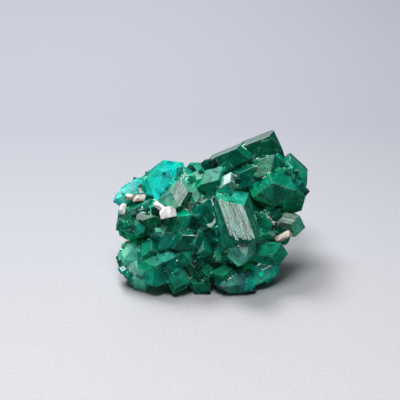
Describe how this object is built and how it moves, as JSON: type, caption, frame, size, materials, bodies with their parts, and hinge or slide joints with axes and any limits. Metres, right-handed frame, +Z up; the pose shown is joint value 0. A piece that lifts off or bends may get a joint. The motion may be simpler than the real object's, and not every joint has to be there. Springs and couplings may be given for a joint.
{
  "type": "dioptase crystal specimen",
  "caption": "Small mineral specimen: a knot of intergrown emerald-green dioptase crystals with scraps of pale calcite, resting on a flat broken patch.",
  "frame": {"origin": "under the middle of the specimen's box, on the surface that it rests on", "axes": "+X along the specimen's length, to the right as seen from the front; +Y from the front to the back; +Z up"},
  "size_m": [0.0276, 0.017, 0.0179],
  "materials": {
    "dioptase": "vitreous natural crystal faces",
    "calcite": "broken, dull to pearly"
  },
  "bodies": {
    "root": {"crystal_cluster": "dioptase", "calcite_scrap_left": "calcite", "calcite_scrap_far_left": "calcite", "calcite_scrap_middle": "calcite", "calcite_scrap_right": "calcite"}
  },
  "joints": []
}
